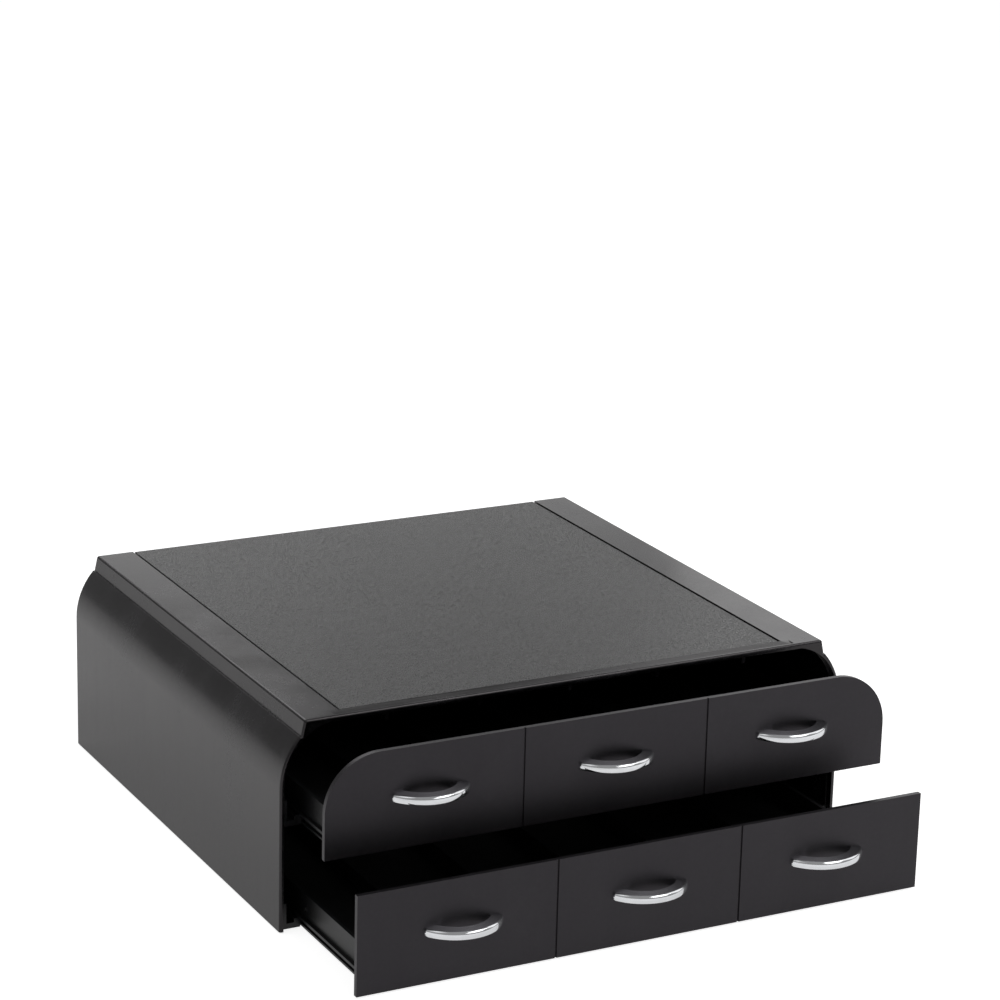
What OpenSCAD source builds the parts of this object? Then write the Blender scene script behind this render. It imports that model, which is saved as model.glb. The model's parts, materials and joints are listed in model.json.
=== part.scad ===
// Worktop cabinet with two sliding coffee pod drawers. All sizes are in millimetres.
// X runs across the front, Y runs from the front to the back, Z is up from the worktop.
// The origin is the middle of the footprint with both drawers part open.

/* [Housing] */
// Overall width across the side walls
housing_w = 357; // [345:1:370]
// Depth from the front edge to the back face
housing_d = 313; // [290:1:330]
// Height from the worktop to the top band
housing_h = 122; // [116:1:132]
// Thickness of the side walls
side_t = 3; // [2.6:0.1:3.6]
// Thickness of the top band over the drawer opening
band_t = 2.2; // [1.8:0.1:3]
// How much thinner the side walls are round the drawer opening
lip_relief = 0.6; // [0.2:0.1:1]
// Thickness of the deck that carries the top panel
deck_t = 2.2; // [1.8:0.1:3]
// Thickness of the back panel
back_t = 2.6; // [2.4:0.1:3.5]
// Height of the raised edge that runs along each side of the top
ridge_h = 9; // [7:0.5:11]
// Set-in of the raised edge from the curved shoulder
ridge_step = 1; // [0.6:0.1:1.6]
// Inward lean of the raised edge over its height
ridge_lean = 1.6; // [0.8:0.1:2.4]
// Rounding of the raised edge
ridge_round = 1.6; // [0.8:0.1:2]
// Height of the curved shoulder below the raised edge
shoulder_h = 29; // [24:0.5:31]
// Radius of the curved shoulder
shoulder_r = 43; // [40:0.5:50]
// Depth of the ribs under the deck
rib_h = 3.5; // [2:0.5:4.5]
// Thickness of the ribs under the deck
rib_t = 2; // [1.5:0.1:3]
// Number of ribs that run across under the deck
cross_ribs = 4; // [2:1:6]

/* [Top panel] */
// Width of the smooth band on each side of the top, from the side to the groove
side_band = 38.1; // [34:0.1:44]
// Depth of the smooth strip along the front of the top
front_strip = 8.5; // [7.5:0.1:14]
// Width of the grooves along the panel's sides
groove_w = 1.2; // [0.8:0.1:2]
// Depth of the pocket that the panel sits in
pocket_d = 2.8; // [2.6:0.1:3.4]
// Thickness of the grained panel
panel_t = 2.6; // [2.2:0.1:2.8]
// Width of the rim in front of the sloping recess in the front strip
rim_w = 2.4; // [1.6:0.1:4]
// Depth of the sloping recess behind the rim
recess_d = 0.8; // [0.4:0.1:1.2]
// How far the recess ends beyond the grooves
recess_over = 5.6; // [2:0.1:12]

/* [Feet] */
// Diameter of each foot pad
foot_d = 9; // [7:0.5:10]
// Height of the foot pads below the housing
foot_proud = 0.8; // [0.6:0.1:1]
// Depth of the foot pad recesses
foot_sunk = 0.8; // [0.6:0.1:1.2]
// Distance of the foot pads from the front and back ends of the runners
foot_inset = 24; // [15:1:50]

/* [Drawer fronts] */
// Gap round the fronts inside the housing opening
plate_gap = 1; // [0.5:0.1:1.3]
// Gap between the two fronts when both drawers are closed
tier_gap = 3.2; // [2:0.1:4]
// Height of the lower front above the worktop
base_gap = 1.4; // [1.2:0.1:1.8]
// Thickness of the fronts
plate_t = 3; // [2.6:0.1:4]
// Radius of the upper front's top corners
plate_corner_r = 32; // [31:0.5:38]
// Width of the two upright grooves in each front
seam_w = 1.2; // [0.8:0.1:2]
// Depth of the upright grooves
seam_d = 0.8; // [0.4:0.1:1.2]
// How far the lower drawer stands open
lower_open = 91.5; // [60:0.5:120]
// How far the upper drawer stands open
upper_open = 50; // [20:0.5:59]
// Travel of each drawer from closed to its stop
drawer_travel = 210; // [150:1:230]

/* [Trays] */
// Thickness of the tray walls
tray_wall = 2.2; // [1.8:0.1:2.6]
// Height of the tray walls above the tray floor
tray_wall_h = 13.8; // [11:0.1:16]
// Thickness of the tray floor
floor_t = 1.6; // [1.4:0.1:2]
// Number of pod lanes
lane_count = 6; // [5:1:6]
// Width of each lane between the dividers
lane_w = 40; // [38:0.5:44]
// Height of the dividers between the lanes
divider_h = 8; // [5:0.5:11]
// Draft of each divider side
divider_lean = 2; // [1:0.1:3]
// Width of the flange that slides on the runner
flange_w = 2; // [1.6:0.1:3]
// Set-in of the skirt below the flange
skirt_set = 1.5; // [1:0.1:2]
// Thickness of the lip that hooks under the runner
lip_t = 1.2; // [1:0.1:1.4]
// Reach of the lip beyond the skirt
lip_reach = 1.6; // [1.2:0.1:2]
// Height of the slot between the lip and the flange
slot_h = 4; // [3.6:0.1:4.6]
// Diameter of the guide pips on the tray walls
pip_d = 2.4; // [1.6:0.1:3]
// Height of the guide pips above the tray floor
pip_rise = 5.2; // [4:0.1:9]
// How far the guide pips stand out
pip_h = 0.9; // [0.5:0.1:1.2]
// Distance of the guide pips behind the drawer front
pip_back = 89; // [60:1:200]
// Gap behind a tray when its drawer is closed
rear_gap = 1.1; // [0.5:0.1:3]

/* [Runners] */
// Room for a runner between the tray wall and the side wall
runner_room = 11.3; // [11.3:0.1:13]
// Sliding clearance between a tray and its runners
slide_gap = 0.3; // [0.25:0.05:0.4]
// Sideways clearance of the lips and clips
side_play = 0.4; // [0.3:0.05:0.5]
// Thickness of the runner's shelf
shelf_t = 3.2; // [2.8:0.1:3.6]
// How much wider the runner's bead is than the flange on it
bead_over = 2.3; // [1.8:0.1:2.4]
// Thickness of the runner's upright web
web_t = 2.5; // [2:0.1:2.6]
// Height of the runner's upright web
web_h = 15; // [15:0.5:18]
// Distance of the end screws from the runner's ends
screw_inset = 30; // [20:1:60]
// Height of the runner screws above the runner's base
screw_rise = 11.2; // [10.8:0.1:12]
// Length of the stop block on each runner
stop_l = 5; // [3:0.5:8]
// Distance of the stop block behind the runner's front end
stop_back = 10; // [6:0.5:20]
// Length of the stop clip on each tray side
clip_l = 8; // [6:0.5:12]
// Thickness of the stop clips
clip_t = 2; // [1.6:0.1:2.1]
// Height of the stop clips' upright leaf
clip_h = 6.8; // [5:0.1:8]
// Diameter of the pegs on the stop clips
peg_d = 3; // [2:0.1:3.6]

/* [Handles] */
// Distance of the outer handles' middles from the ends of the fronts
handle_inset = 61.8; // [36:0.1:90]
// Height of the handles above the middle of the fronts
handle_lift = 2; // [-5:0.1:10]
// Overall span of each handle
handle_span = 47.2; // [44:0.1:54]
// Reach of each handle in front of its plate
handle_reach = 14.7; // [13:0.1:18]
// Width of the finger gap where it meets the front
handle_gap_w = 32.8; // [26:0.1:36]
// Depth of the finger gap behind the bow
handle_gap_d = 8.8; // [6:0.1:10]
// Height of the handle strip
handle_h = 5; // [4.4:0.1:8]
// Bevel along the top of the handle strip
handle_bevel = 1.4; // [0.6:0.1:2]
// Depth of the handle feet in front of the plate
handle_foot = 1.3; // [1:0.1:3]
// Ledge of each handle foot beside the bow
handle_ledge = 0.3; // [0.2:0.1:0.8]
// Depth of the screw holes in the handle feet
handle_bite = 3.2; // [2.2:0.1:3.3]

/* [Fasteners] */
// Diameter of the screw shanks
screw_d = 2.5; // [2.2:0.1:2.6]
// Radial play of a screw in its threaded hole
thread_play = 0.05; // [0.02:0.01:0.1]
// Radial play of a screw in its through hole
through_play = 0.3; // [0.2:0.05:0.4]
// Diameter of the screw heads
head_d = 5; // [4.4:0.1:5.2]
// Thickness of the screw heads
head_t = 1.4; // [1:0.1:1.4]
// Depth of the screws in the plastic they hold to
bite = 1.8; // [1.4:0.1:2]
// Gap past the tip of each screw
tip_gap = 0.2; // [0.1:0.05:0.3]

/* [Back panel posts] */
// Width and height of each post
post_w = 8; // [7:0.5:10]
// Length of each post
post_l = 12; // [8:0.5:20]
// Height of the lower posts' screws above the worktop
post_low_z = 34; // [28:1:44]
// Distance of the upper posts' screws below the raised edges
post_drop = 23; // [22:0.5:27]

/* [Hidden] */
$fn = 64;

// Clearance between moulded pieces that seat in one another
seat_gap = 0.15;
// Overrun of a cut past the face it opens
over = 1;
// Overlap of shapes that are joined in one piece
joined = 0.5;

// Housing
half_w = housing_w / 2;
back_y = (housing_d + max(lower_open, upper_open) + handle_reach) / 2;
front_y = back_y - housing_d;
side_x = half_w - side_t;
ridge_z = housing_h - ridge_h;
side_top_z = ridge_z - shoulder_h;
shoulder_x = half_w - shoulder_r;
ridge_x = shoulder_x + sqrt(pow(shoulder_r, 2) - pow(shoulder_h, 2)) - ridge_step;
opening_half = side_x + lip_relief;
opening_top = housing_h - band_t;
pocket_z = housing_h - pocket_d;
deck_z = pocket_z - deck_t;
lip_d = plate_t + 2 * slide_gap;
groove_x = half_w - side_band;
panel_half = groove_x - groove_w / 2;
pocket_half = groove_x + groove_w / 2;
pocket_y = front_y + front_strip;
rear_in_y = back_y - back_t;
post_zs = [post_low_z, ridge_z - post_drop];
post_x = side_x - post_w;
post_screw_x = post_x + post_w / 2 - joined;

// Tiers and fronts
plate_half = opening_half - plate_gap;
plate_h = (opening_top - plate_gap - base_gap - tier_gap) / 2;
tier_pitch = plate_h + tier_gap;
lower_face = front_y - lower_open;
upper_face = front_y - upper_open;
seam_x = plate_half / 3 - seam_w;

// Trays
tray_x = side_x - runner_room;
tray_in_x = tray_x - tray_wall;
lane_pitch = (2 * tray_in_x - lane_w) / (lane_count - 1);
divider_w = lane_pitch - lane_w;
divider_xs = [for (i = [1 : lane_count - 1]) (i - lane_count / 2) * lane_pitch];
tray_l = housing_d - plate_t - back_t - rear_gap;
slot_z = base_gap + lip_t;
flange_z = slot_z + slot_h;
floor_z = flange_z + floor_t;
wall_top_z = floor_z + tray_wall_h;
skirt_x = tray_x - skirt_set;
lip_x = skirt_x + lip_reach;
flange_x = tray_x + flange_w;
front_screw_z = floor_z + tray_wall_h / 2;
front_screw_xs = [for (side = [-1, 1], lane = [(lane_count % 2 + 1) / 2, (lane_count - 1) / 2])
    side * lane * lane_pitch];

// Runners and stops
runner_y = front_y + plate_t + slide_gap;
runner_l = rear_in_y - runner_y;
shelf_z = foot_proud + shelf_t;
tongue_x = skirt_x + slide_gap;
tongue_z = slot_z + slide_gap;
bead_z = flange_z - slide_gap;
bead_x = flange_x + bead_over;
runner_foot_x = lip_x + side_play;
web_x = side_x - web_t;
runner_screw_z = foot_proud + screw_rise;
runner_screw_ys = [runner_y + screw_inset, runner_y + runner_l / 2, rear_in_y - screw_inset];
clip_y = drawer_travel + plate_t + stop_back + stop_l + 2 * slide_gap;
clip_x = web_x - head_t - side_play;
clip_peg_z = floor_z + clip_t + clip_h / 2;
foot_x = (runner_foot_x + side_x) / 2;
foot_ys = [runner_y + foot_inset, rear_in_y - foot_inset];

// Handles
handle_x = plate_half - handle_inset;
handle_xs = [-handle_x, 0, handle_x];
handle_z = base_gap + plate_h / 2 + handle_lift;
bow_rise = handle_reach - handle_foot;
bow_half = handle_span / 2 - handle_ledge;
bow_r = (pow(bow_half, 2) + pow(bow_rise, 2)) / (2 * bow_rise);
gap_r = (pow(handle_gap_w / 2, 2) + pow(handle_gap_d, 2)) / (2 * handle_gap_d);
handle_screw_x = (handle_span + handle_gap_w) / 4;

plastic = "#1d1d1f";
grained = "#262628";
chrome = "#c9cacd";
steel = "#9a9ca0";
rubber = "#111112";

// A box between two corners
module block(low, high) {
    translate(low) cube(high - low);
}

// The same shape on the right and, mirrored, on the left
module both_sides() {
    children();
    mirror([1, 0, 0]) children();
}

// A screw along +Z whose head seats on z = 0
module screw(length) {
    translate([0, 0, -head_t]) cylinder(d = head_d, h = head_t);
    cylinder(d = screw_d, h = length);
}

// Cross-section of the housing's outside, seen from the front
module outside_outline() {
    translate([-half_w, foot_proud]) square([housing_w, side_top_z - foot_proud]);
    intersection() {
        union() {
            translate([-shoulder_x, side_top_z]) circle(r = shoulder_r);
            translate([shoulder_x, side_top_z]) circle(r = shoulder_r);
            translate([-shoulder_x, side_top_z]) square([2 * shoulder_x, shoulder_h]);
        }
        translate([-half_w, side_top_z]) square([housing_w, shoulder_h]);
    }
    top_x = ridge_x - ridge_lean;
    polygon([[-ridge_x, ridge_z], [ridge_x, ridge_z], [top_x, housing_h - ridge_round],
        [top_x - ridge_round, housing_h], [ridge_round - top_x, housing_h],
        [-top_x, housing_h - ridge_round]]);
    for (side = [-1, 1])
        translate([side * (top_x - ridge_round), housing_h - ridge_round]) circle(r = ridge_round);
}

// Cross-section of the drawer bay, held back by a gap all round
module bay_outline(gap) {
    half = side_x - gap;
    r = shoulder_r - side_t - gap;
    translate([-half, 0]) square([2 * half, side_top_z]);
    intersection() {
        union() {
            translate([-shoulder_x, side_top_z]) circle(r = r);
            translate([shoulder_x, side_top_z]) circle(r = r);
            translate([-shoulder_x, side_top_z - over]) square([2 * shoulder_x, housing_h]);
        }
        translate([-half, side_top_z - over]) square([2 * half, deck_z - gap - side_top_z + over]);
    }
}

// Rectangle whose two top corners are round
module arched_outline(half, low_z, high_z, r) {
    intersection() {
        translate([-half, low_z]) square([2 * half, high_z - low_z]);
        union() {
            translate([-half, low_z]) square([2 * half, high_z - low_z - r]);
            translate([r - half, low_z]) square([2 * (half - r), high_z - low_z]);
            for (side = [-1, 1]) translate([side * (half - r), high_z - r]) circle(r = r);
        }
    }
}

// Stands an outline drawn in X and Z upright, from y to y + length
module upright(y, length) {
    translate([0, y + length, 0]) rotate([90, 0, 0]) linear_extrude(length) children();
}

module housing_shell() {
    color(plastic) difference() {
        union() {
            difference() {
                upright(front_y, housing_d) outside_outline();
                upright(front_y + lip_d, housing_d) bay_outline(0);
            }
            deck_ribs();
            both_sides() back_posts();
        }
        upright(front_y - over, lip_d + 2 * over)
            arched_outline(opening_half, -over, opening_top, plate_corner_r + plate_gap);
        block([-pocket_half, pocket_y, pocket_z], [pocket_half, back_y + over, housing_h + over]);
        front_recess();
        both_sides() {
            for (z = post_zs)
                translate([post_screw_x, back_y - post_l, z])
                    rotate([-90, 0, 0]) cylinder(d = screw_d + 2 * thread_play, h = post_l + over);
            for (tier = [0, tier_pitch], y = runner_screw_ys)
                translate([side_x - over, y, tier + runner_screw_z])
                    rotate([0, 90, 0]) cylinder(d = screw_d + 2 * thread_play, h = bite + over);
        }
    }
}

// Sloping recess along the front of the top, deepest behind the rim
module front_recess() {
    half = groove_x + recess_over;
    translate([half, 0, 0]) rotate([90, 0, -90]) linear_extrude(2 * half)
        polygon([[-pocket_y, housing_h], [-pocket_y, housing_h + over],
            [-front_y - rim_w, housing_h + over], [-front_y - rim_w, housing_h - recess_d]]);
}

// Stiffening ribs under the deck, lengthwise over the dividers and across
module deck_ribs() {
    y0 = front_y + lip_d + over;
    for (x = divider_xs)
        block([x - rib_t / 2, y0, deck_z - rib_h], [x + rib_t / 2, rear_in_y - over, deck_z + joined]);
    for (i = [1 : cross_ribs]) {
        y = front_y + housing_d * i / (cross_ribs + 1);
        block([-shoulder_x, y - rib_t / 2, deck_z - rib_h], [shoulder_x, y + rib_t / 2, deck_z + joined]);
    }
}

// Posts on the side wall that take the back panel's screws
module back_posts() {
    for (z = post_zs)
        block([post_x, rear_in_y - post_l, z - post_w / 2], [side_x + joined, rear_in_y, z + post_w / 2]);
}

module top_panel() {
    color(grained) block([-panel_half, pocket_y + 2 * seat_gap, pocket_z],
        [panel_half, back_y, pocket_z + panel_t]);
}

module back_panel() {
    color(plastic) difference() {
        intersection() {
            upright(rear_in_y, back_t) bay_outline(seat_gap);
            block([-half_w, rear_in_y, foot_proud], [half_w, back_y, housing_h]);
        }
        both_sides() for (z = post_zs)
            translate([post_screw_x, back_y + over, z]) rotate([90, 0, 0]) {
                cylinder(d = screw_d + 2 * through_play, h = back_t + 2 * over);
                cylinder(d = head_d + 2 * through_play, h = head_t + over);
            }
    }
}

module back_screws() {
    color(steel) both_sides() for (z = post_zs)
        translate([post_screw_x, back_y - head_t, z])
            rotate([90, 0, 0]) screw(post_l - head_t - tip_gap);
}

// Runner on the right side: shelf, sliding bead with its tongue, web and stop block
module runner(tier) {
    difference() {
        union() {
            upright(runner_y, runner_l) translate([0, tier]) polygon([
                [side_x, foot_proud], [runner_foot_x, foot_proud], [runner_foot_x, tongue_z],
                [tongue_x, tongue_z], [tongue_x, bead_z], [bead_x, bead_z], [bead_x, shelf_z],
                [web_x, shelf_z], [web_x, foot_proud + web_h], [side_x, foot_proud + web_h]]);
            block([bead_x - joined, runner_y + stop_back, tier + shelf_z - joined],
                [web_x + joined, runner_y + stop_back + stop_l, tier + bead_z]);
        }
        for (y = runner_screw_ys)
            translate([web_x - over, y, tier + runner_screw_z])
                rotate([0, 90, 0]) cylinder(d = screw_d + 2 * through_play, h = web_t + 2 * over);
        if (tier == 0) for (y = foot_ys)
            translate([foot_x, y, -over])
                cylinder(d = foot_d + 2 * seat_gap, h = foot_proud + foot_sunk + over);
    }
}

module lower_runner_left() { color(plastic) mirror([1, 0, 0]) runner(0); }
module lower_runner_right() { color(plastic) runner(0); }
module upper_runner_left() { color(plastic) mirror([1, 0, 0]) runner(tier_pitch); }
module upper_runner_right() { color(plastic) runner(tier_pitch); }

module runner_screws() {
    color(steel) both_sides() for (tier = [0, tier_pitch], y = runner_screw_ys)
        translate([web_x, y, tier + runner_screw_z]) rotate([0, 90, 0]) screw(web_t + bite - tip_gap);
}

module foot_pads() {
    color(rubber) both_sides() for (y = foot_ys)
        translate([foot_x, y, 0]) cylinder(d = foot_d, h = foot_proud + foot_sunk);
}

// One divider, drawn in X and Z from low_z up: its outside, or the hollow inside it
module divider_outline(inset, low_z) {
    base = divider_w / 2 - inset;
    top = base - divider_lean;
    high = floor_z + divider_h - inset;
    polygon([[-base, low_z], [base, low_z], [base, floor_z - inset],
        [top, high], [-top, high], [-base, floor_z - inset]]);
}

// Pod tray: floor with sliding flanges, low walls, skirt with hooked lips, lane dividers
module tray(tier, face_y) {
    y0 = face_y + plate_t;
    y1 = y0 + tray_l;
    color(plastic) translate([0, 0, tier]) difference() {
        union() {
            block([-flange_x, y0, flange_z], [flange_x, y1, floor_z]);
            difference() {
                block([-tray_x, y0, flange_z], [tray_x, y1, wall_top_z]);
                block([-tray_in_x, y0 + tray_wall, floor_z - over],
                    [tray_in_x, y1 - tray_wall, wall_top_z + over]);
            }
            difference() {
                block([-skirt_x, y0, base_gap], [skirt_x, y1, flange_z + joined]);
                block([tray_wall - skirt_x, y0 + tray_wall, base_gap - over],
                    [skirt_x - tray_wall, y1 - tray_wall, flange_z]);
            }
            for (x = divider_xs) translate([x, 0, 0])
                upright(y0 + tray_wall / 2, tray_l - tray_wall) divider_outline(0, flange_z + joined);
            both_sides() {
                block([skirt_x - joined, y0, base_gap], [lip_x, y1, slot_z]);
                translate([tray_x - joined, face_y + pip_back, floor_z + pip_rise])
                    rotate([0, 90, 0]) cylinder(d = pip_d, h = pip_h + joined);
            }
        }
        for (x = divider_xs) translate([x, 0, 0])
            upright(y0 + tray_wall, tray_l - 2 * tray_wall) divider_outline(floor_t, flange_z - over);
        for (x = front_screw_xs)
            translate([x, y0 - over, front_screw_z])
                rotate([-90, 0, 0]) cylinder(d = screw_d + 2 * through_play, h = tray_wall + 2 * over);
        both_sides() translate([tray_in_x - over, face_y + clip_y + clip_l / 2, clip_peg_z])
            rotate([0, 90, 0]) cylinder(d = peg_d + 2 * thread_play, h = tray_wall + 2 * over);
    }
}

module lower_tray() { tray(0, lower_face); }
module upper_tray() { tray(tier_pitch, upper_face); }

// Cuts shared by both fronts: upright grooves, handle holes and blind screw holes
module front_cuts(tier, face_y) {
    for (side = [-1, 1])
        block([side * seam_x - seam_w / 2, face_y - over, tier - over],
            [side * seam_x + seam_w / 2, face_y + seam_d, tier + housing_h]);
    for (x = handle_xs, side = [-1, 1])
        translate([x + side * handle_screw_x, face_y - over, tier + handle_z])
            rotate([-90, 0, 0]) cylinder(d = screw_d + 2 * through_play, h = plate_t + 2 * over);
    for (x = front_screw_xs)
        translate([x, face_y + plate_t - bite - tip_gap, tier + front_screw_z])
            rotate([-90, 0, 0]) cylinder(d = screw_d + 2 * thread_play, h = bite + tip_gap + over);
}

module lower_front() {
    color(plastic) difference() {
        block([-plate_half, lower_face, base_gap], [plate_half, lower_face + plate_t, base_gap + plate_h]);
        front_cuts(0, lower_face);
    }
}

module upper_front() {
    low_z = tier_pitch + base_gap;
    color(plastic) difference() {
        upright(upper_face, plate_t) arched_outline(plate_half, low_z, low_z + plate_h, plate_corner_r);
        front_cuts(tier_pitch, upper_face);
    }
}

// Bow handle: a curved strip, bevelled along its top, that springs from two feet on the front
module handle(tier, face_y, x) {
    half_h = handle_h / 2;
    half_span = handle_span / 2;
    color(chrome) translate([x, face_y, tier + handle_z]) difference() {
        union() {
            intersection() {
                translate([0, bow_r - handle_reach, 0]) rotate_extrude() polygon([
                    [0, -half_h], [bow_r, -half_h], [bow_r, half_h - handle_bevel],
                    [bow_r - handle_bevel, half_h], [0, half_h]]);
                block([-handle_span, -handle_reach - over, -handle_h], [handle_span, -handle_foot, handle_h]);
            }
            block([-half_span, -handle_foot, -half_h], [half_span, 0, half_h]);
        }
        translate([0, gap_r - handle_gap_d, -handle_h]) cylinder(r = gap_r, h = 2 * handle_h);
        both_sides() translate([handle_screw_x, -handle_bite, 0])
            rotate([-90, 0, 0]) cylinder(d = screw_d + 2 * thread_play, h = handle_bite + over);
    }
}

module lower_handle_left() { handle(0, lower_face, -handle_x); }
module lower_handle_middle() { handle(0, lower_face, 0); }
module lower_handle_right() { handle(0, lower_face, handle_x); }
module upper_handle_left() { handle(tier_pitch, upper_face, -handle_x); }
module upper_handle_middle() { handle(tier_pitch, upper_face, 0); }
module upper_handle_right() { handle(tier_pitch, upper_face, handle_x); }

// Two screws behind each handle, heads on the back of the front
module handle_screws(tier, face_y) {
    color(steel) for (x = handle_xs, side = [-1, 1])
        translate([x + side * handle_screw_x, face_y + plate_t, tier + handle_z])
            rotate([90, 0, 0]) screw(plate_t + handle_bite - tip_gap);
}

module lower_handle_screws() { handle_screws(0, lower_face); }
module upper_handle_screws() { handle_screws(tier_pitch, upper_face); }

// Screws that hold the front to the tray, heads inside the tray
module front_screws(tier, face_y) {
    color(steel) for (x = front_screw_xs)
        translate([x, face_y + plate_t + tray_wall, tier + front_screw_z])
            rotate([90, 0, 0]) screw(tray_wall + bite);
}

module lower_front_screws() { front_screws(0, lower_face); }
module upper_front_screws() { front_screws(tier_pitch, upper_face); }

// Hooked clip on each tray side: its tab meets the runner's stop block
module stop_clips(tier, face_y) {
    y0 = face_y + clip_y;
    y1 = y0 + clip_l;
    color(plastic) translate([0, 0, tier]) both_sides() {
        block([tray_x, y0, floor_z], [clip_x, y1, floor_z + clip_t]);
        block([clip_x - clip_t, y0, shelf_z + slide_gap], [clip_x, y1, floor_z + joined]);
        block([tray_x, y0, floor_z], [tray_x + clip_t, y1, floor_z + clip_t + clip_h]);
        translate([tray_in_x + seat_gap, y0 + clip_l / 2, clip_peg_z])
            rotate([0, 90, 0]) cylinder(d = peg_d, h = tray_wall + joined);
    }
}

module lower_stop_clips() { stop_clips(0, lower_face); }
module upper_stop_clips() { stop_clips(tier_pitch, upper_face); }

housing_shell();
top_panel();
back_panel();
lower_runner_left();
lower_runner_right();
upper_runner_left();
upper_runner_right();
runner_screws();
back_screws();
foot_pads();
lower_tray();
lower_front();
lower_handle_left();
lower_handle_middle();
lower_handle_right();
lower_handle_screws();
lower_front_screws();
lower_stop_clips();
upper_tray();
upper_front();
upper_handle_left();
upper_handle_middle();
upper_handle_right();
upper_handle_screws();
upper_front_screws();
upper_stop_clips();
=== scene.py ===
"""Dresses the worktop cabinet with two sliding pod drawers: its mouldings, handles, fasteners and studio."""

import json
import math

import bmesh
import bpy
from mathutils import Euler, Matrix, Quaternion, Vector


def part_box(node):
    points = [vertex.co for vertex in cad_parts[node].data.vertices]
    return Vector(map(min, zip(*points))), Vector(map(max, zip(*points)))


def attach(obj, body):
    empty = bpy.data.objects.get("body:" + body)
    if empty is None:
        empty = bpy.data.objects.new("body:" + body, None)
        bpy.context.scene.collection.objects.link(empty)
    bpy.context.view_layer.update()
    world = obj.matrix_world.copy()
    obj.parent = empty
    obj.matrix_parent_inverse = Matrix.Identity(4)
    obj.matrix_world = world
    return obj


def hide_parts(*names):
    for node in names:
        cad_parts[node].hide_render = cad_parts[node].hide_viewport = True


bl_info = {
    "name": "Pod drawer cabinet",
    "version": (1, 0, 0),
    "blender": (4, 5, 0),
    "location": "3D View > Sidebar > Pod Cabinet",
    "description": "Finishes a worktop cabinet with two sliding pod drawers",
    "category": "Object",
}

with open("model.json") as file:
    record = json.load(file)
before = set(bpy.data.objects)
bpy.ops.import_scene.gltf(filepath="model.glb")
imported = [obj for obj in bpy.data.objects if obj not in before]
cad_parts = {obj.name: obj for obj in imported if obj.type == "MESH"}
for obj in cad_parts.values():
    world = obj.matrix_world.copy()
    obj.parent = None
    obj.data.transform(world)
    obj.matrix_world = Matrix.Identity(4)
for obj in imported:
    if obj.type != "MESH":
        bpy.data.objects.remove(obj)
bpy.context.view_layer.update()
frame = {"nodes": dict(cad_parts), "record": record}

DRAWERS = ("lower", "upper")
SIDES = ("left", "right")
HANDLES = ("left", "middle", "right")

# Distances in metres
WELD = 0.000002  # points nearer than this become one
FINE = 0.000001  # points nearer than this to a cutting plane lie on it

# Turns from one face to the next
FLAT = math.radians(0.4)  # faces that turn less than this become one
BOW_FLAT = math.radians(0.2)  # the same on the finely curved handles
CREASE = math.radians(30)  # edges that turn more than this are rounded, and shaded sharp
BOW_CREASE = math.radians(32)
SCREW_CREASE = math.radians(35)

# Shares of a face's direction along an axis
FACING = 0.99  # it looks straight along the axis
MOSTLY = 0.5  # it looks more or less along the axis

# Handles and screws
BOW_STEPS = 192  # sides of a full circle on the handles
FACE_STEPS = 4  # steps from the middle of a handle's face to its edge
SHOULDER_STEPS = 8  # steps round a handle's shoulder
HEAD_SIDES = 32  # sides of a screw head
HEAD_DOME = 0.55  # share of a head's thickness that its dome takes
RECESS_TAPER = (0.45, 0.6, 1.0)  # size of a recess cutter's tip, as shares of its base
THREAD_STEPS = 16  # steps in one turn of a thread
THREAD_CREST = (0.4, 0.55)  # shares of a turn between which a thread has its full height
SPARE_TURNS = 2  # turns of thread beyond each end of a shank, cut off afterwards

# Finishes
FLOAT = "NodeSocketFloat"
COLOUR = "NodeSocketColor"
WHITE = (1.0, 1.0, 1.0, 1.0)
NOISE_SPAN = (0.3, 0.7)  # most values of a noise lie between these
TEXTURE_SCALE = 2600.0  # bumps of the spark-eroded texture in a metre
TEXTURE_RELIEF = 0.000003  # height of its bumps
RUB = 0.35  # strength of the rubbed edges
RUB_LIGHTENS = 1.2
RUB_SMOOTHS = 0.10
SCUFF_LIGHTENS = 0.5
SCUFF_ROUGHENS = 0.12

LAMPS = (  # name, place, target, width and height, watts and spread in degrees
    ("key_left", (-0.5, 0.0, 0.95), (-0.38, 0.05, 0.0), (0.5, 0.5), 0.12, 80),
    ("left_top", (-1.0, -0.2, 1.15), (-0.1, -0.2, 0.05), (1.1, 0.9), 0.8, 180),
    ("right_top", (0.55, -0.55, 1.2), (0.0, -0.15, 0.1), (0.7, 0.5), 3.6, 180),
    ("right_box", (1.05, -0.1, 0.75), (0.05, -0.15, 0.06), (1.0, 0.9), 2.2, 180),
    ("back_card", (1.15, 1.0, 0.22), (1.15, 0.0, 0.22), (2.7, 0.44), 3.0, 180),
    ("back_high", (0.0, 1.0, 0.85), (0.0, 0.0, 0.85), (0.6, 0.5), 1.5, 180),
    ("right_card", (1.43, 1.0, 0.72), (1.43, 0.0, 0.72), (1.4, 0.56), 2.6, 180),
    ("front_card", (0.51, -1.2, 1.05), (-0.05, -0.15, 0.07), (1.0, 0.45), 2.3, 180),
)


# Sizes, colours and studio settings ------------------------------------------------------------


def length(name, description, default):
    """A length setting in metres."""
    return bpy.props.FloatProperty(name=name, description=description, default=default,
                                   unit="LENGTH", precision=5, min=0.0)


def angle(name, description, degrees):
    """An angle setting, with its default in degrees."""
    return bpy.props.FloatProperty(name=name, description=description, default=math.radians(degrees),
                                   subtype="ANGLE")


def share(name, description, default):
    """A setting from 0 to 1."""
    return bpy.props.FloatProperty(name=name, description=description, default=default,
                                   subtype="FACTOR", min=0.0, max=1.0)


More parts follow.
